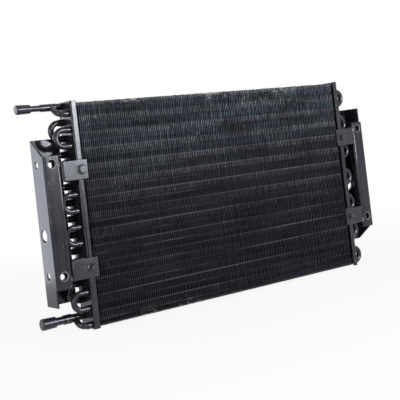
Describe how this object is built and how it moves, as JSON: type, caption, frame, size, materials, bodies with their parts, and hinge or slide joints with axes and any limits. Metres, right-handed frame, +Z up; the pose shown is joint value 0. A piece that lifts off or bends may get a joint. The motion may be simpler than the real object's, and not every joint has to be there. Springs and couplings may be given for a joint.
{
  "type": "hydraulic oil cooler",
  "caption": "Black painted finned tube oil cooler: hairpin tubes through plate fins, flanged end plates, capped port tubes on the left and two bent sheet mounting brackets with bolt holes.",
  "frame": {"origin": "centre of the four rear mounting holes, on the mounting plane at the rear faces of the brackets", "axes": "+X along the tubes away from the ports, +Y from the front to the mounting plane, +Z up"},
  "size_m": [0.7016, 0.0543, 0.357],
  "materials": {
    "fins": "black paint, satin",
    "tubes": "black paint, gloss",
    "end_plates": "black paint, gloss",
    "brackets": "black paint, gloss",
    "fasteners": "black paint, gloss",
    "caps": "soft vinyl, satin"
  },
  "bodies": {
    "cooler": {"fin_pack": "fins", "left_end_plate": "end_plates", "right_end_plate": "end_plates", "front_hairpin_1": "tubes", "front_hairpin_2": "tubes", "front_hairpin_3": "tubes", "front_hairpin_4": "tubes", "front_hairpin_5": "tubes", "front_hairpin_6": "tubes", "front_hairpin_7": "tubes", "back_hairpin_1": "tubes", "back_hairpin_2": "tubes", "back_hairpin_3": "tubes", "back_hairpin_4": "tubes", "back_hairpin_5": "tubes", "back_hairpin_6": "tubes", "back_hairpin_7": "tubes", "front_return_bend_1": "tubes", "front_return_bend_2": "tubes", "front_return_bend_3": "tubes", "front_return_bend_4": "tubes", "front_return_bend_5": "tubes", "front_return_bend_6": "tubes", "back_return_bend_1": "tubes", "back_return_bend_2": "tubes", "back_return_bend_3": "tubes", "back_return_bend_4": "tubes", "back_return_bend_5": "tubes", "back_return_bend_6": "tubes", "inlet_fitting": "tubes", "inlet_coupling": "tubes", "inlet_tube": "tubes", "outlet_fitting": "tubes", "outlet_coupling": "tubes", "outlet_tube": "tubes", "left_bracket": "brackets", "right_bracket": "brackets", "upper_left_clip": "brackets", "lower_left_clip": "brackets", "upper_right_clip": "brackets", "lower_right_clip": "brackets", "clip_screws": "fasteners", "clip_nuts": "fasteners"},
    "inlet_cap": {"inlet_cap": "caps"},
    "outlet_cap": {"outlet_cap": "caps"}
  },
  "joints": [
    {"name": "inlet_cap_pull", "type": "slide", "parent": "cooler", "child": "inlet_cap", "axis": [-1, 0, 0], "range_m": [0, 0.06]},
    {"name": "outlet_cap_pull", "type": "slide", "parent": "cooler", "child": "outlet_cap", "axis": [-1, 0, 0], "range_m": [0, 0.06]}
  ]
}
